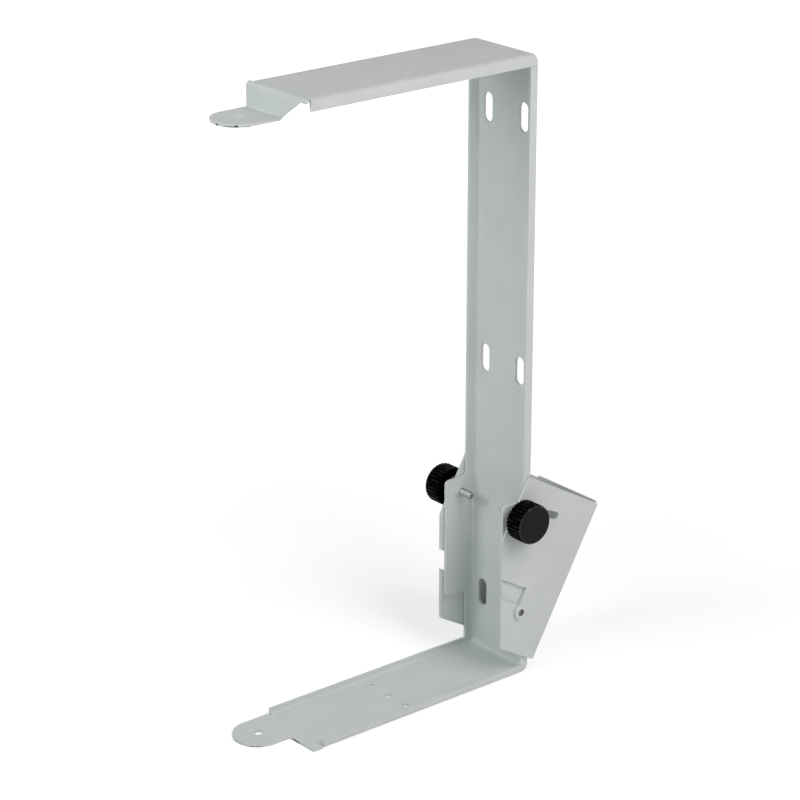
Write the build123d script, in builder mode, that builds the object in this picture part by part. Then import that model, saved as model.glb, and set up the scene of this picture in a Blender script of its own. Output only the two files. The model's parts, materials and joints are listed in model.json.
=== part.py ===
from build123d import *
import math
import os

# Tilting wall bracket for a loudspeaker, in millimetres.
# A folded C-shaped frame holds the speaker between two arms. It hangs on two
# pivot screws between the cheeks of a folded wall bracket, and two hand knobs
# clamp it anywhere along a curved slot in each cheek.
# X runs across the bracket, -Y points away from the wall and Z is up. The
# origin is on the underside of the lower arm, straight below the tilt axis.
# The frame stands upright, and the wall bracket leans at its full tilt.

# Sheet metal shared by both folded parts
sheet = 2.0
inner_bend = 1.6
outer_bend = inner_bend + sheet
edge_round = 2.0

# Speaker frame
frame_height = 440.0
frame_width = 61.0
flange_depth = 8.0
lower_flange_depth = 6.0
arm_reach = 189.0
upper_nose_flat = 0.6
lower_nose_length = 8.0
corner_bend = 6.0
seam_width = 0.5
seam_depth = 0.4
relief_slit = 0.8
nose_inset = 1.0

# Ears on the web's flanges, which carry the pivot screws and the clamp nuts
ear_depth = 26.5
ear_bottom = 43.0
ear_top = 130.5
ear_corner = 3.0
ear_root_round = 3.5

# Tabs that take the speaker's lower and upper screws
tab_radius = 17.5
upper_tab_forward = 19.2
lower_tab_forward = 13.3
tab_hole = 6.6
tab_root_round = 3.0
joggle_drop = 16.0
joggle_bend = 1.0
joggle_run = 19.0
joggle_rise = 13.2
joggle_round = 3.0

# Holes in the frame
slot_length = 20.0
slot_width = 8.5
slot_spacing = 35.0
slot_pitch = 175.5
slot_middle = 219.5
arm_hole = 5.0
arm_hole_spacing = 19.0
arm_hole_reach = 102.0

# Wall bracket, measured up the wall plate and out from its rear face
tilt_angle = 30.0
tilt_travel = 28.5
plate_height = 117.3
plate_rise = 1.5
plate_start = 8.0
cheek_depth = 76.0
foot_depth = 36.5
cheek_gap = 0.5
notch_bottom = 32.7
notch_height = 12.6
notch_root = 35.9
wall_hole = 8.5
wall_hole_low = 29.0
wall_hole_pitch = 70.0

# Pivot, placed on the frame and on the wall bracket
pivot_forward = 13.0
pivot_rise = 50.5
pivot_up = 28.5
pivot_out = 34.5
shank_diameter = 6.0
running_clearance = 0.05
head_diameter = 9.5
head_height = 2.6
head_play = 0.15
head_round = 0.8
socket_across = 4.5
socket_depth = 1.9

# Clamp: stud, nut, washer and knob on one axis
clamp_radius = 70.5
clamp_lean = 1.2
stud_diameter = 5.0
stud_reach = 12.7
stud_chamfer = 0.7
slot_clearance = 0.3
nut_flange_diameter = 8.4
nut_flange = 2.0
nut_spigot = 6.8
nut_chamfer = 0.4
washer_diameter = 18.0
washer_thickness = 1.2
washer_bore_clearance = 0.2
washer_play = 0.1

# Hand knob
knob_diameter = 28.0
knob_skirt = 12.3
knob_face_diameter = 27.0
knob_face_height = 1.1
knob_face_round = 0.8
knob_hub_diameter = 12.0
knob_hub_height = 2.0
knob_wall = 2.4
knob_cavity = 7.5
knob_insert = 8.0
flute_count = 32
flute_radius = 1.0
flute_depth = 0.7

# Places worked out from the sizes above
half_width = frame_width / 2
upper_flange_end = arm_reach - joggle_bend - sheet - upper_nose_flat
lower_flange_end = arm_reach - lower_nose_length
upper_tab_reach = arm_reach + upper_tab_forward
lower_tab_reach = arm_reach + lower_tab_forward
ear_inner = half_width - sheet
cheek_inner = half_width + cheek_gap
cheek_outer = cheek_inner + sheet
nose_half = half_width - nose_inset
flat_half = half_width - outer_bend
tab_x = tab_radius - half_width
tab_top = frame_height - joggle_drop
web_flange_middle = (frame_height - flange_depth + lower_flange_depth) / 2
web_flange_height = frame_height - flange_depth - lower_flange_depth
slot_rows = (slot_middle - slot_pitch, slot_middle, slot_middle + slot_pitch)
tilt = math.radians(tilt_angle)
wall_up = Vector(0, math.sin(tilt), math.cos(tilt))
wall_out = Vector(0, -math.cos(tilt), math.sin(tilt))
web_back = pivot_forward
pivot = Vector(0, 0, pivot_rise)
wall_corner = pivot - wall_up * pivot_up - wall_out * pivot_out
cheek_break = (cheek_depth - foot_depth) / math.tan(tilt)
clamp_y = pivot.Y - clamp_radius * math.sin(math.radians(clamp_lean))
clamp_z = pivot.Z + clamp_radius * math.cos(math.radians(clamp_lean))
slot_start = clamp_lean + tilt_angle - tilt_travel
washer_face = cheek_outer + washer_play
hub_face = washer_face + washer_thickness
skirt_face = hub_face + knob_hub_height
head_face = cheek_outer + head_play
nut_length = nut_flange + sheet
beyond = 5.0


os.makedirs("parts", exist_ok=True)


def side_plane(x, y=0, z=0):
    """Plane that faces +X, with its own x axis along Y and its y axis along Z."""
    return Plane(origin=(x, y, z), x_dir=(0, 1, 0), z_dir=(1, 0, 0))


def frame_side(x):
    """Side view of the frame at x: Y counts from the rear face of its web."""
    return side_plane(x, web_back)


def frame_plan(z):
    """Plan of the frame at z: Y counts from the rear face of its web."""
    return Plane(origin=(0, web_back, z))


def frame_front(reach):
    """Plane across the frame, facing -Y, this far in front of its web's rear face."""
    return Plane.XZ.offset(reach - web_back)


def wall_plane(x=0):
    """Plane that faces +X, with its x axis up the wall plate and its y axis out."""
    return Plane(origin=wall_corner + Vector(x, 0, 0), x_dir=wall_up, z_dir=(1, 0, 0))


def wall_height(edge):
    """How far an edge's middle stands out from the wall plate's rear face."""
    return (edge.center() - wall_corner).dot(wall_out)


# Speaker frame: the C-shaped channel before its inside is opened
with BuildPart() as channel:
    with BuildSketch(frame_side(0)):
        with Locations((-upper_flange_end / 2, frame_height / 2)):
            Rectangle(upper_flange_end, frame_height)
        fillet(vertices().group_by(Axis.X)[-1], corner_bend)
        with Locations((-upper_flange_end / 2 - flange_depth, web_flange_middle)):
            Rectangle(upper_flange_end, web_flange_height, mode=Mode.SUBTRACT)
        with Locations((-lower_flange_end - upper_flange_end / 2, web_flange_middle - flange_depth)):
            Rectangle(upper_flange_end, web_flange_height, mode=Mode.SUBTRACT)
    extrude(amount=half_width, both=True)
    side_edges = edges().filter_by(lambda e: abs(abs(e.center().X) - half_width) < 0.01)
    back_edges = side_edges.filter_by(lambda e: e.center().Y > web_back - corner_bend)
    low_edges = side_edges.filter_by(GeomType.LINE).filter_by(lambda e: e.center().Z < 0.01)
    high_edges = side_edges.filter_by(GeomType.LINE).filter_by(
        lambda e: e.center().Z > frame_height - 0.01
    )
    fillet(back_edges + low_edges + high_edges, outer_bend)

# The inside of the channel, one sheet thickness in
with BuildPart() as channel_inside:
    with BuildSketch(frame_side(0)):
        with Locations((-sheet - upper_flange_end / 2, frame_height / 2)):
            Rectangle(upper_flange_end, frame_height - 2 * sheet)
        fillet(vertices().group_by(Axis.X)[-1], corner_bend - sheet)
    extrude(amount=ear_inner, both=True)
    inside_edges = edges().filter_by(lambda e: abs(abs(e.center().X) - ear_inner) < 0.01)
    fillet(inside_edges.filter_by(lambda e: e.center().Y > web_back - upper_flange_end), inner_bend)

# Plan of the lower arm's front end: a flat nose with the screw tab at one side
with BuildSketch() as lower_end_plan:
    with BuildLine():
        Polyline(
            (-half_width, -lower_flange_end),
            (-half_width, -lower_tab_reach),
            (tab_x + tab_radius, -lower_tab_reach),
            (tab_x + tab_radius, -arm_reach),
            (nose_half, -arm_reach),
            (nose_half, -lower_flange_end),
            close=True,
        )
    make_face()
    nose_corners = vertices().filter_by(lambda v: abs(v.Y + arm_reach) < 0.01)
    fillet(nose_corners.sort_by(Axis.X)[0], tab_root_round)
    nose_corners = vertices().filter_by(lambda v: abs(v.Y + arm_reach) < 0.01)
    fillet(nose_corners.sort_by(Axis.X)[-1], edge_round)
    with Locations((tab_x, -lower_tab_reach)):
        Circle(tab_radius)
        Circle(tab_hole / 2, mode=Mode.SUBTRACT)

# Lower arm's front end, flat all the way
with BuildPart() as lower_end:
    with BuildSketch(frame_plan(0)):
        add(lower_end_plan.sketch)
    extrude(amount=sheet)

# Upper arm's front end, stepped down to the tab and narrowed on the way
with BuildPart() as upper_end:
    with BuildSketch(frame_side(-half_width)):
        tab_tip = upper_tab_reach + tab_radius
        with BuildLine():
            Polyline(
                (-upper_flange_end, frame_height),
                (-arm_reach, frame_height),
                (-arm_reach, tab_top),
                (-tab_tip, tab_top),
                (-tab_tip, tab_top - sheet),
                (sheet - arm_reach, tab_top - sheet),
                (sheet - arm_reach, frame_height - sheet),
                (-upper_flange_end, frame_height - sheet),
                close=True,
            )
        make_face()
        step_corners = vertices().filter_by(lambda v: -tab_tip < v.X < -upper_flange_end)
        outer_heights = (tab_top - sheet, frame_height)
        inner_heights = (tab_top, frame_height - sheet)
        convex = step_corners.filter_by(lambda v: min(abs(v.Y - h) for h in outer_heights) < 0.01)
        fillet(convex, joggle_bend + sheet)
        step_corners = vertices().filter_by(lambda v: abs(v.X + arm_reach - sheet / 2) < sheet / 2 + 0.01)
        concave = step_corners.filter_by(lambda v: min(abs(v.Y - h) for h in inner_heights) < 0.01)
        fillet(concave, joggle_bend)
    extrude(amount=half_width + nose_half)
    # Near side of the step, cut back to the tab's width on a slant
    with BuildSketch(frame_front(arm_reach - sheet)):
        with BuildLine():
            Polyline(
                (tab_x + tab_radius, tab_top - beyond),
                (tab_x + tab_radius, tab_top),
                (tab_x + tab_radius + joggle_run, tab_top + joggle_rise),
                (half_width + beyond, tab_top + joggle_rise),
                (half_width + beyond, tab_top - beyond),
                close=True,
            )
        make_face()
        slant_ends = vertices().filter_by(lambda v: v.Y > tab_top - 0.01).sort_by(Axis.X)
        fillet(slant_ends[0:2], joggle_round)
    extrude(amount=tab_tip - arm_reach + sheet, mode=Mode.SUBTRACT)
    # Rounded tip and screw hole
    with BuildSketch(frame_plan(tab_top - sheet)):
        with Locations((tab_x, -upper_tab_reach - tab_radius / 2)):
            Rectangle(2 * tab_radius + 1, tab_radius)
        with Locations((tab_x, -upper_tab_reach)):
            Circle(tab_radius, mode=Mode.SUBTRACT)
            Circle(tab_hole / 2)
    extrude(amount=sheet, mode=Mode.SUBTRACT)

# Speaker frame: one folded sheet
with BuildPart() as speaker_frame:
    add(channel.part)
    add(channel_inside.part, mode=Mode.SUBTRACT)
    add(lower_end.part)
    add(upper_end.part)
    # Ears and their rounded roots
    with BuildSketch(frame_side(ear_inner), frame_side(-half_width)):
        with Locations(((-flange_depth - outer_bend) / 2, (ear_top + ear_bottom) / 2)):
            Rectangle(flange_depth - outer_bend, ear_top - ear_bottom + 4 * ear_root_round)
        with Locations((-(ear_depth + outer_bend) / 2, (ear_top + ear_bottom) / 2)):
            Rectangle(ear_depth - outer_bend, ear_top - ear_bottom)
        fillet(vertices().group_by(Axis.X)[0], ear_corner)
        ear_roots = vertices().filter_by(lambda v: abs(v.X + flange_depth) < 0.01)
        fillet(ear_roots.sort_by(Axis.Y)[1:3], ear_root_round)
    extrude(amount=sheet)
    # Relief slits where each flange stops short of the flat nose
    slit_x = (flat_half + half_width) / 2
    for slit_reach, slit_bottom in (
        (lower_flange_end, 0),
        (upper_flange_end, frame_height - flange_depth),
    ):
        with BuildSketch(frame_plan(slit_bottom)):
            with Locations((-slit_x, -slit_reach), (slit_x, -slit_reach)):
                Rectangle(half_width - flat_half + 0.01, relief_slit)
        extrude(amount=flange_depth, mode=Mode.SUBTRACT)
    # Seams where the flanges of the web meet those of the arms
    with BuildSketch(frame_front(flange_depth / 2)):
        for seam_height in (lower_flange_depth, frame_height - flange_depth):
            for seam_side in (-half_width, half_width):
                with Locations((seam_side, seam_height)):
                    Rectangle(2 * seam_depth, seam_width)
    extrude(amount=flange_depth / 2, both=True, mode=Mode.SUBTRACT)
    # Slots in the web
    with BuildSketch(frame_front(0)):
        for row in slot_rows:
            with Locations((-slot_spacing / 2, row), (slot_spacing / 2, row)):
                SlotOverall(slot_length, slot_width, rotation=90)
    extrude(amount=2 * sheet, both=True, mode=Mode.SUBTRACT)
    # Row of small holes across each arm
    with BuildSketch(frame_plan(0)):
        with Locations((0, -arm_hole_reach)):
            with GridLocations(arm_hole_spacing, 1, 3, 1):
                Circle(arm_hole / 2)
    extrude(amount=frame_height, mode=Mode.SUBTRACT)
    # Ear holes for the pivot screws and the clamp nuts
    with BuildSketch(side_plane(0)):
        with Locations((pivot.Y, pivot.Z)):
            Circle(shank_diameter / 2)
        with Locations((clamp_y, clamp_z)):
            Circle(nut_spigot / 2)
    extrude(amount=half_width + beyond, both=True, mode=Mode.SUBTRACT)
speaker_frame.part.label = "speaker_frame"
export_step(speaker_frame.part, "parts/speaker_frame.step")

# Space between the cheeks of the wall bracket
with BuildPart() as bracket_inside:
    with BuildSketch(wall_plane()):
        with Locations((plate_height / 2, sheet + cheek_depth / 2)):
            Rectangle(plate_height + 2 * beyond, cheek_depth)
    extrude(amount=cheek_inner, both=True)
    inside_edges = edges().filter_by(lambda e: abs(wall_height(e) - sheet) < 0.01)
    fillet(inside_edges.filter_by(lambda e: abs(abs(e.center().X) - cheek_inner) < 0.01), inner_bend)

# Wall bracket: one folded sheet, a plate with two cheeks
with BuildPart() as wall_bracket:
    with BuildSketch(wall_plane()):
        with BuildLine():
            Polyline(
                (0, 0),
                (plate_height, 0),
                (plate_height, cheek_depth),
                (cheek_break, cheek_depth),
                (0, foot_depth),
                close=True,
            )
        make_face()
        fillet(vertices().filter_by(lambda v: v.Y > sheet), edge_round)
        with Locations((notch_bottom + notch_height / 2, notch_root + cheek_depth / 2)):
            Rectangle(notch_height, cheek_depth, mode=Mode.SUBTRACT)
    extrude(amount=cheek_outer, both=True)
    rear_edges = edges().filter_by(lambda e: abs(wall_height(e)) < 0.01)
    fillet(rear_edges.filter_by(lambda e: abs(abs(e.center().X) - cheek_outer) < 0.01), outer_bend)
    add(bracket_inside.part, mode=Mode.SUBTRACT)
    # The plate stops short at the foot and rises a little above the cheeks
    with BuildSketch(wall_plane()):
        with Locations((0, 0)):
            Rectangle(2 * plate_start, 4 * outer_bend)
    extrude(amount=cheek_inner, both=True, mode=Mode.SUBTRACT)
    with BuildSketch(wall_plane()):
        with Locations((plate_height, sheet / 2)):
            Rectangle(2 * plate_rise, sheet)
    extrude(amount=cheek_outer - outer_bend, both=True)
    # Screw holes in the plate, on the same spacing as the frame's slots
    for hole_height in (wall_hole_low, wall_hole_low + wall_hole_pitch):
        hole_plane = Plane(origin=wall_corner + wall_up * hole_height, x_dir=(1, 0, 0), z_dir=wall_out)
        with BuildSketch(hole_plane):
            with Locations((-slot_spacing / 2, 0), (slot_spacing / 2, 0)):
                Circle(wall_hole / 2)
        extrude(amount=sheet + inner_bend, both=True, mode=Mode.SUBTRACT)
    # Pivot holes and curved clamping slots in the cheeks
    with BuildSketch(wall_plane()):
        with Locations((pivot_up, pivot_out)):
            Circle(shank_diameter / 2 + running_clearance)
        with BuildLine(mode=Mode.PRIVATE) as slot_line:
            CenterArc((pivot_up, pivot_out), clamp_radius, slot_start, tilt_travel)
        SlotArc(slot_line.edge(), stud_diameter + 2 * slot_clearance)
    extrude(amount=cheek_outer + beyond, both=True, mode=Mode.SUBTRACT)
wall_bracket.part.label = "wall_bracket"
export_step(wall_bracket.part, "parts/wall_bracket.step")

# Pivot screw: a low socket head outside the cheek, its shank fixed in the ear
with BuildPart() as pivot_screw:
    with BuildSketch(side_plane(ear_inner, pivot.Y, pivot.Z)):
        Circle(shank_diameter / 2)
    extrude(amount=head_face - ear_inner)
    with BuildSketch(side_plane(head_face, pivot.Y, pivot.Z)):
        Circle(head_diameter / 2)
    extrude(amount=head_height)
    fillet(edges().filter_by(GeomType.CIRCLE).sort_by(Axis.X)[-1], head_round)
    with BuildSketch(side_plane(head_face + head_height, pivot.Y, pivot.Z)):
        RegularPolygon(socket_across / 2, 6, major_radius=False)
    extrude(amount=-socket_depth, mode=Mode.SUBTRACT)

# Clamp nut: a round flange against the ear and a spigot pressed through it
with BuildPart() as clamp_nut:
    with BuildSketch(side_plane(ear_inner - nut_flange, clamp_y, clamp_z)):
        Circle(nut_flange_diameter / 2)
    extrude(amount=nut_flange)
    chamfer(edges().sort_by(Axis.X)[0], nut_chamfer)
    with BuildSketch(side_plane(ear_inner, clamp_y, clamp_z)):
        Circle(nut_spigot / 2)
    extrude(amount=sheet)
    with BuildSketch(side_plane(ear_inner - nut_flange, clamp_y, clamp_z)):
        Circle(stud_diameter / 2 + running_clearance)
    extrude(amount=nut_length, mode=Mode.SUBTRACT)

# Washer that bridges the curved slot
with BuildPart() as clamp_washer:
    with BuildSketch(side_plane(washer_face, clamp_y, clamp_z)):
        Circle(washer_diameter / 2)
        Circle(stud_diameter / 2 + washer_bore_clearance, mode=Mode.SUBTRACT)
    extrude(amount=washer_thickness)

# Stud, moulded into the knob and screwed through the nut
with BuildPart() as knob_stud:
    with BuildSketch(side_plane(ear_inner - stud_reach, clamp_y, clamp_z)):
        Circle(stud_diameter / 2)
    extrude(amount=hub_face + knob_insert - ear_inner + stud_reach)
    chamfer(edges().sort_by(Axis.X)[0], stud_chamfer)

# Hand knob: fluted skirt, raised round face, open back with a hub
with BuildPart() as knob:
    with BuildSketch(side_plane(skirt_face, clamp_y, clamp_z)):
        Circle(knob_diameter / 2)
        with PolarLocations(knob_diameter / 2 + flute_radius - flute_depth, flute_count):
            Circle(flute_radius, mode=Mode.SUBTRACT)
    extrude(amount=knob_skirt)
    with BuildSketch(side_plane(skirt_face, clamp_y, clamp_z)):
        Circle(knob_diameter / 2 - knob_wall - flute_depth)
        Circle(knob_hub_diameter / 2, mode=Mode.SUBTRACT)
    extrude(amount=knob_cavity, mode=Mode.SUBTRACT)
    with BuildSketch(side_plane(hub_face, clamp_y, clamp_z)):
        Circle(knob_hub_diameter / 2)
    extrude(amount=knob_hub_height + knob_cavity)
    with BuildSketch(side_plane(skirt_face + knob_skirt, clamp_y, clamp_z)):
        Circle(knob_face_diameter / 2)
    extrude(amount=knob_face_height)
    fillet(edges().filter_by(GeomType.CIRCLE).sort_by(Axis.X)[-1], knob_face_round)
    with BuildSketch(side_plane(hub_face, clamp_y, clamp_z)):
        Circle(stud_diameter / 2)
    extrude(amount=knob_insert, mode=Mode.SUBTRACT)

# The same hardware on both sides of the bracket
hardware = {
    "pivot_screw": pivot_screw,
    "clamp_nut": clamp_nut,
    "clamp_washer": clamp_washer,
    "knob_stud": knob_stud,
    "knob": knob,
}
for name, piece in hardware.items():
    piece.part.label = name + "_right"
    export_step(piece.part, f"parts/{name}_right.step")
    with BuildPart() as left_piece:
        mirror(piece.part, about=Plane.YZ)
    left_piece.part.label = name + "_left"
    export_step(left_piece.part, f"parts/{name}_left.step")
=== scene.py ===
"""Looks of the speaker wall bracket: materials, threaded studs, floor, lamps and camera.

Lengths are in metres and colours are linear. X runs across the bracket, -Y away from the wall and
Z up, as in the CAD. The threaded studs replace the CAD's plain ones, and the other nodes stay.
"""

import json
import math

import bmesh
import bpy
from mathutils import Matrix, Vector


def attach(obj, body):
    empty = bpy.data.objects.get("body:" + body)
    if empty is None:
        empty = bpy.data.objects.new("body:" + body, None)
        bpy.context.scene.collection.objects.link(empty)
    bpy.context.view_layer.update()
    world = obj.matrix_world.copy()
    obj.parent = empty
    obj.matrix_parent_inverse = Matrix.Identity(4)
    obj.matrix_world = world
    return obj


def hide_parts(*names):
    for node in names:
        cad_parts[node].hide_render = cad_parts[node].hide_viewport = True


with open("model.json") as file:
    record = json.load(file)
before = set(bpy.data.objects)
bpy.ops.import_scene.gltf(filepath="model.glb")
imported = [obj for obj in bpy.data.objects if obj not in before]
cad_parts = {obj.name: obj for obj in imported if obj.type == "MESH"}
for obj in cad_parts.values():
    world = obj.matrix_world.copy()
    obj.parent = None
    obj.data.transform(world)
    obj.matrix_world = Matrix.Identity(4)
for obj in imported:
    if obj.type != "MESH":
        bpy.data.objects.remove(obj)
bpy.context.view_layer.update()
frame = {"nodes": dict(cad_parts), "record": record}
nodes = frame["nodes"]

# Camera, as solved from the photograph
CAMERA_PLACE = Vector((1.2936, -1.1386, 0.8547))
CAMERA_FORWARD = Vector((-0.7224, 0.5921, -0.3571))
FOCAL_PIXELS = 2724.1
IMAGE_PIXELS = 800
SENSOR_MM = 36.0
CLIP_END = 20.0

# Sizes of the hardware, as in the CAD: distances along X are from the middle plane, for both sides
SIDES = ((1, "right"), (-1, "left"))
EAR_INNER = 0.0285
PAINT_THICKNESS = 0.0001
PIVOT_Z = 0.0505
SOCKET_RADIUS = 0.0027
CLAMP_Y = -0.001476
CLAMP_Z = 0.120985
KNOB_SKIRT_FRONT = 0.0486
KNOB_RADIUS = 0.014
KNOB_FACE_RADIUS = 0.0135
STUD_END = 0.0158
STUD_ROOT = 0.0423
STUD_RADIUS = 0.0025
STUD_CHAMFER = 0.0007

# Thread: its depth as a share of THREAD_DEPTH is FLANK_SLOPE times the half pitches from the middle
# of the crest, less CREST_FLAT, and is held between 0 and 1
THREAD_PITCH = 0.0008
THREAD_DEPTH = 0.0004
FLANK_SLOPE = 1.5
CREST_FLAT = 0.2
POINTS_AROUND = 40
RINGS_PER_PITCH = 8

# Colours
WHITE = (1.0, 1.0, 1.0)
PAINT = (0.600, 0.650, 0.638)
PAINT_LIGHT = (0.640, 0.686, 0.674)
# Near black of the paint chips, also used as painted shade along edges
BARE_STEEL_AND_SHADE = (0.012, 0.012, 0.013)
ZINC = (0.34, 0.355, 0.35)
ZINC_DULL = (0.25, 0.26, 0.25)
PLASTIC = (0.0007, 0.0008, 0.0009)
PLASTIC_FACE = (0.0028, 0.0032, 0.0029)
FLOOR_COLOUR = (0.80, 0.80, 0.80)

# Noise patterns: scale and detail
MOTTLE = (38.0, 3.0)
RAGGED = (900.0, 3.0)
PATCHES = (420.0, 2.0)
SMUDGES = (900.0, 2.0)
TARNISH = (700.0, 3.0)

# Ranges of the noise that count, from none to full
NOISE_RANGE = (0.3, 0.7)
TARNISH_RANGE = (0.35, 0.7)
RUB_RANGE = (0.38, 0.62)

# Relief: scale and detail of its noise, strength and height of its bump
ORANGE_PEEL = (1100.0, 2.0, 0.10, 0.00012)
GRIT = (4200.0, 1.0, 0.07, 0.00005)
ZINC_GRAIN = (2600.0, 2.0, 0.12, 0.00005)
PLASTIC_GRAIN = (3200.0, 2.0, 0.12, 0.00006)

# Gloss: lowest and highest roughness, and specular levels (of the plastic: skirt and face)
PAINT_ROUGHNESS = (0.42, 0.52)
ZINC_ROUGHNESS = (0.34, 0.5)
PLASTIC_ROUGHNESS = (0.38, 0.48)
PAINT_SPECULAR = 0.22
PLASTIC_SPECULAR = (0.003, 0.10)

# Half the width of the change from a knob's skirt to its face
FACE_BLEND = 0.0001

# Wear of a knob: radii at which its rib crests and its face's rim begin, and are fully, rubbed
CREST_RADII = (KNOB_RADIUS - 0.0003, KNOB_RADIUS - 0.0001)
RIM_RADII = (KNOB_FACE_RADIUS - 0.0008, KNOB_FACE_RADIUS - 0.0005)
CREST_WEAR = 0.2
RUB_POLISH = 0.2
RUB_SPECULAR = 0.45

# Dark marks at the ends of the tabs and of the lower arm, by middle and half sizes: chips in the
# paint, and painted shade in thin dark lines along edges. A mark fades out from MARK_EDGE of its
# size, and noise makes its outline ragged.
MARK_EDGE = 0.9
MARK_RAGGEDNESS = 0.5
CHIPS_AND_SHADED_EDGES = (
    # Chips in the paint at the end of the upper tab
    ((-0.0015, -0.2093, 0.4221), (0.0050, 0.0032, 0.0006)),
    ((0.0009, -0.2063, 0.4223), (0.0015, 0.0022, 0.0010)),
    # Painted shade: a thin dark line along the upper tab's near edge
    ((0.0035, -0.2010, 0.4220), (0.0016, 0.0050, 0.0004)),
    # Chip in the paint
    ((-0.0105, -0.2128, 0.4226), (0.0014, 0.0016, 0.0007)),
    # Painted shade: dark lines along the bottom edges of the lower arm's end, next to the floor
    ((0.0005, -0.2012, 0.0001), (0.0058, 0.0048, 0.0005)),
    ((-0.0140, -0.2068, 0.0000), (0.0120, 0.0030, 0.0003)),
    ((0.0100, -0.1760, 0.0004), (0.0056, 0.0010, 0.0007)),
)

# Floor and world: the floor's glow grows between the two radii, and the world lights softly
FLOOR_HALF = 3.0
FLOOR_DROP = 0.0002
GLOW_RADII = (0.2, 1.4)
GLOW_LEVELS = (0.50, 0.95)
WORLD_LIGHT = 0.10
WORLD_SEEN = 1.0

# Lamps: name, place, target, size, power in watts and colour
MIDDLE = (0.0, -0.05, 0.22)
DAYLIGHT = (0.975, 0.99, 1.0)
LAMPS = (
    ("right_high", (1.4, 0.1, 1.6), MIDDLE, (1.2, 1.2), 18.7, (1.0, 0.915, 0.905)),
    ("right_low", (1.8, -0.1, 0.5), MIDDLE, (1.2, 1.0), 2.2, (1.0, 0.96, 0.94)),
    ("right_near", (0.7, -0.05, 0.42), (0.03, 0.0, 0.40), (0.25, 0.25), 0.66, WHITE),
    ("front_high", (0.0, -1.5, 1.2), MIDDLE, (1.2, 1.0), 7.7, DAYLIGHT),
    ("front_near", (-0.3, -0.85, 0.62), (0.0, -0.17, 0.43), (0.3, 0.3), 1.75, DAYLIGHT),
    ("camera_side", (1.1, -1.3, 0.6), MIDDLE, (1.0, 1.0), 1.9, (0.88, 0.98, 1.0)),
    ("left", (-1.8, -0.2, 0.6), MIDDLE, (1.6, 1.2), 4.2, WHITE),
    ("back", (-0.2, 1.8, 0.45), MIDDLE, (1.2, 0.7), 5.0, WHITE),
)


class Nodes:
    """Short calls to add and join the nodes of a tree."""

    def __init__(self, tree):
        self.tree = tree

    def feed(self, socket, value):
        """Join a node's output to a socket, or else set it to a number, vector or colour."""
        if isinstance(value, bpy.types.NodeSocket):
            self.tree.links.new(value, socket)
        elif socket.type == "RGBA":
            socket.default_value = (*value, 1.0)
        else:
            socket.default_value = value

    def new(self, kind, inputs, operation=None):
        """Add a node, with values or outputs for its inputs by name or number."""
        node = self.tree.nodes.new(f"ShaderNode{kind}")
        if operation:
            node.operation = operation
        for key, value in inputs.items():
            self.feed(node.inputs[key], value)
        return node

    def math(self, operation, *values):
        return self.new("Math", dict(enumerate(values)), operation).outputs["Value"]

    def vector_math(self, operation, *values):
        return self.new("VectorMath", dict(enumerate(values)), operation).outputs["Value"]

    def spread(self, value, low, high, to_low=0.0, to_high=1.0):
        """Map the range from low to high to another one, and hold its ends beyond it."""
        ends = {"From Min": low, "From Max": high, "To Min": to_low, "To Max": to_high}
        return self.new("MapRange", {**ends, "Value": value}).outputs["Result"]

    def seen(self):
        """1 to the camera, in reflections and through glass, and 0 as a light."""
        rays = self.new("LightPath", {}).outputs
        seen = self.math("MAXIMUM", rays["Is Camera Ray"], rays["Is Glossy Ray"])
        return self.math("MAXIMUM", seen, rays["Is Transmission Ray"])


class MaterialNodes(Nodes):
    """The node tree of a new material, with its shader and the object's own coordinates."""

    def __init__(self, name):
        self.material = bpy.data.materials.new(name)
        self.material.use_nodes = True
        super().__init__(self.material.node_tree)
        self.shader = self.tree.nodes["Principled BSDF"]
        self.output = self.tree.nodes["Material Output"]
        self.place = self.new("TexCoord", {}).outputs["Object"]

    def shade(self, name, value):
        self.feed(self.shader.inputs[name], value)

    def noise(self, scale, detail):
        inputs = {"Scale": scale, "Detail": detail, "Vector": self.place}
        return self.new("TexNoise", inputs).outputs["Fac"]

    def relief(self, scale, detail, strength, height, below=None):
        """A bump from noise, on top of the one below."""
        inputs = {"Strength": strength, "Distance": height, "Height": self.noise(scale, detail)}
        if below is not None:
            inputs["Normal"] = below
        return self.new("Bump", inputs).outputs["Normal"]

    def mix(self, factor, a, b):
        """Blend from colour a to colour b."""
        node = self.tree.nodes.new("ShaderNodeMix")
        node.data_type = "RGBA"
        self.feed(node.inputs["Factor"], factor)
        colours = [socket for socket in node.inputs if socket.type == "RGBA"]
        for socket, value in zip(colours, (a, b)):
            self.feed(socket, value)
        return next(socket for socket in node.outputs if socket.type == "RGBA")

    def stretch(self, scale):
        """The object's coordinates, multiplied by a scale on each axis."""
        return self.new("Mapping", {"Scale": scale, "Vector": self.place}).outputs["Vector"]

    def from_axis(self, y, z):
        """Distance from a line along X."""
        return self.vector_math("DISTANCE", self.stretch((0.0, 1.0, 1.0)), (0.0, y, z))

    def from_middle(self):
        """Distance from the middle plane, X = 0."""
        axes = self.new("SeparateXYZ", {"Vector": self.place}).outputs
        return self.math("ABSOLUTE", axes["X"])


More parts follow.
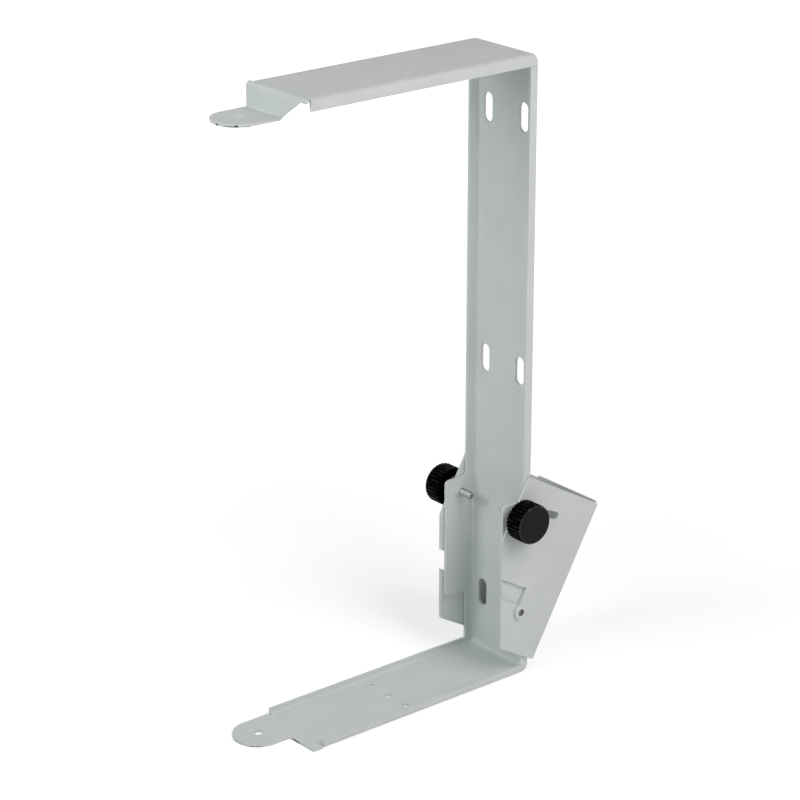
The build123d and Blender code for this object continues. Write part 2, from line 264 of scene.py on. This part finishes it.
def powder_coat():
    """Light grey powder coat: orange peel, fine grit, faint mottling, a few chips and painted shade
    along edges.
    """
    n = MaterialNodes("powder_coat")
    colour = n.mix(n.spread(n.noise(*MOTTLE), *NOISE_RANGE), PAINT, PAINT_LIGHT)
    ragged = n.spread(n.noise(*RAGGED), *NOISE_RANGE, -MARK_RAGGEDNESS, MARK_RAGGEDNESS)
    # Near black marks: chips in the paint, and painted shade along edges
    for middle, half_sizes in CHIPS_AND_SHADED_EDGES:
        scaled = n.stretch(tuple(1.0 / size for size in half_sizes))
        scaled_middle = tuple(c / size for c, size in zip(middle, half_sizes))
        away = n.vector_math("DISTANCE", scaled, scaled_middle)
        chip_and_shade = n.spread(n.math("ADD", away, ragged), MARK_EDGE, 1.0, 1.0, 0.0)
        colour = n.mix(chip_and_shade, colour, BARE_STEEL_AND_SHADE)
    n.shade("Base Color", colour)
    n.shade("Normal", n.relief(*GRIT, below=n.relief(*ORANGE_PEEL)))
    n.shade("Roughness", n.spread(n.noise(*PATCHES), *NOISE_RANGE, *PAINT_ROUGHNESS))
    n.shade("Specular IOR Level", PAINT_SPECULAR)
    return n.material


def zinc_plate(name, painted=None):
    """Zinc plate with dull patches, painted over on a nut's inner end or on a screw's head."""
    n = MaterialNodes(name)
    colour = n.mix(n.spread(n.noise(*TARNISH), *TARNISH_RANGE), ZINC, ZINC_DULL)
    bare = 1.0
    if painted:
        bare = n.math("GREATER_THAN", n.from_middle(), EAR_INNER + PAINT_THICKNESS)
        if painted == "head":
            in_socket = n.math("LESS_THAN", n.from_axis(0.0, PIVOT_Z), SOCKET_RADIUS)
            bare = n.math("MULTIPLY", bare, in_socket)
        colour = n.mix(bare, PAINT, colour)
    n.shade("Metallic", bare)
    n.shade("Base Color", colour)
    n.shade("Roughness", n.spread(n.noise(*SMUDGES), *NOISE_RANGE, *ZINC_ROUGHNESS))
    n.shade("Normal", n.relief(*ZINC_GRAIN))
    return n.material


def black_plastic():
    """Black moulded plastic: matt skirt with rubbed rib crests, satin face with a shiny rim."""
    n = MaterialNodes("black_plastic")
    face = n.spread(n.from_middle(), KNOB_SKIRT_FRONT - FACE_BLEND, KNOB_SKIRT_FRONT + FACE_BLEND)
    radius = n.from_axis(CLAMP_Y, CLAMP_Z)
    crest = n.spread(radius, *CREST_RADII)
    rim = n.math("MULTIPLY", face, n.spread(radius, *RIM_RADII))
    worn = n.math("MAXIMUM", n.math("MULTIPLY", crest, CREST_WEAR), rim)
    rubbed = n.math("MULTIPLY", worn, n.spread(n.noise(*PATCHES), *RUB_RANGE))
    n.shade("Base Color", n.mix(face, PLASTIC, PLASTIC_FACE))
    rough = n.spread(n.noise(*SMUDGES), *NOISE_RANGE, *PLASTIC_ROUGHNESS)
    n.shade("Roughness", n.math("SUBTRACT", rough, n.math("MULTIPLY", rubbed, RUB_POLISH)))
    clean = n.spread(face, 0.0, 1.0, *PLASTIC_SPECULAR)
    specular = n.math("MAXIMUM", clean, n.math("MULTIPLY", rubbed, RUB_SPECULAR))
    n.shade("Specular IOR Level", specular)
    n.shade("Normal", n.relief(*PLASTIC_GRAIN))
    return n.material


def floor_material():
    """Pale floor that shows white to the camera and in reflections, and keeps the shadow."""
    n = MaterialNodes("floor")
    n.tree.nodes.remove(n.shader)
    diffuse = n.new("BsdfDiffuse", {"Color": FLOOR_COLOUR})
    level = n.spread(n.vector_math("LENGTH", n.place), *GLOW_RADII, *GLOW_LEVELS)
    glow = n.new("Emission", {"Strength": n.math("MULTIPLY", n.seen(), level)})
    both = n.new("AddShader", {0: diffuse.outputs["BSDF"], 1: glow.outputs["Emission"]})
    n.feed(n.output.inputs["Surface"], both.outputs["Shader"])
    return n.material


def studio_world():
    """World that is white to the camera and in reflections, and softer as a light."""
    world = bpy.data.worlds.new("studio")
    world.use_nodes = True
    n = Nodes(world.node_tree)
    background = n.tree.nodes["Background"]
    n.feed(background.inputs["Color"], WHITE)
    strength = n.spread(n.seen(), 0.0, 1.0, WORLD_LIGHT, WORLD_SEEN)
    n.feed(background.inputs["Strength"], strength)
    return world


def new_mesh(name, points, faces, material):
    """A new smooth mesh object from points and faces, with its normals turned outward."""
    mesh = bpy.data.meshes.new(name)
    mesh.from_pydata(points, [], faces)
    work = bmesh.new()
    work.from_mesh(mesh)
    bmesh.ops.recalc_face_normals(work, faces=work.faces)
    work.to_mesh(mesh)
    work.free()
    mesh.materials.append(material)
    for face in mesh.polygons:
        face.use_smooth = True
    piece = bpy.data.objects.new(name, mesh)
    bpy.context.collection.objects.link(piece)
    return piece


def threaded_stud(name, side, material):
    """Stud with a real thread, from its chamfered end inside the frame to the knob."""
    step = THREAD_PITCH / RINGS_PER_PITCH
    count = int(round((STUD_ROOT - STUD_END) / step))
    points = []
    for ring in range(count + 1):
        along = ring * step
        chamfer = min(0.0, along - STUD_CHAMFER)
        for k in range(POINTS_AROUND):
            turn = k / POINTS_AROUND
            phase = (along / THREAD_PITCH - side * turn) % 1.0
            flank = abs(2.0 * phase - 1.0) * FLANK_SLOPE - CREST_FLAT
            depth = THREAD_DEPTH * min(1.0, max(0.0, flank))
            radius = min(STUD_RADIUS - depth, STUD_RADIUS + chamfer)
            angle = 2.0 * math.pi * turn
            y = CLAMP_Y + radius * math.cos(angle)
            z = CLAMP_Z + radius * math.sin(angle)
            points.append((side * (STUD_END + along), y, z))
    faces = []
    for ring in range(count):
        start = ring * POINTS_AROUND
        for k in range(POINTS_AROUND):
            a = start + k
            b = start + (k + 1) % POINTS_AROUND
            faces.append((a, b, b + POINTS_AROUND, a + POINTS_AROUND))
    for start in (0, count * POINTS_AROUND):
        faces.append(tuple(range(start, start + POINTS_AROUND)))
    return new_mesh(name, points, faces, material)


def area_light(name, place, target, size, power, colour):
    """A rectangular lamp that faces its target."""
    data = bpy.data.lights.new(name, "AREA")
    data.shape = "RECTANGLE"
    data.size, data.size_y = size
    data.energy = power
    data.color = colour
    lamp = bpy.data.objects.new(name, data)
    lamp.location = place
    facing = Vector(target) - Vector(place)
    lamp.rotation_euler = facing.to_track_quat("-Z", "Y").to_euler()
    bpy.context.collection.objects.link(lamp)


# Materials of the CAD nodes, by the record's material slots
zinc = zinc_plate("zinc_plate")
nut_zinc = zinc_plate("zinc_plate_painted_end", painted="end")
screw_zinc = zinc_plate("zinc_plate_painted_head", painted="head")
materials = {"painted_steel": powder_coat(), "zinc_steel": zinc, "black_plastic": black_plastic()}
for subpart in frame["record"]["subparts"]:
    node = nodes[subpart["node"]]
    node.data.materials.clear()
    node.data.materials.append(materials[subpart["material_slot"]])

# Part-painted screws and nuts, and threaded studs in place of the plain ones
for side, word in SIDES:
    nodes[f"pivot_screw_{word}"].data.materials[0] = screw_zinc
    nodes[f"clamp_nut_{word}"].data.materials[0] = nut_zinc
    stud = threaded_stud(f"threaded_stud_{word}", side, zinc)
    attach(stud, f"{word}_clamp")
    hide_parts(f"knob_stud_{word}")

# Floor
corners = [(FLOOR_HALF * x, FLOOR_HALF * y, 0.0) for x, y in ((-1, -1), (1, -1), (1, 1), (-1, 1))]
floor = new_mesh("floor", corners, [(0, 1, 2, 3)], floor_material())
floor.location.z = -FLOOR_DROP

# World and lamps
bpy.context.scene.world = studio_world()
for lamp in LAMPS:
    area_light(*lamp)

# Camera
camera_data = bpy.data.cameras.new("camera")
camera_data.sensor_width = SENSOR_MM
camera_data.lens = FOCAL_PIXELS * SENSOR_MM / IMAGE_PIXELS
camera_data.clip_end = CLIP_END
camera = bpy.data.objects.new("camera", camera_data)
camera.location = CAMERA_PLACE
camera.rotation_euler = CAMERA_FORWARD.to_track_quat("-Z", "Y").to_euler()
bpy.context.collection.objects.link(camera)
bpy.context.scene.camera = camera
bpy.context.scene.view_settings.view_transform = "Standard"
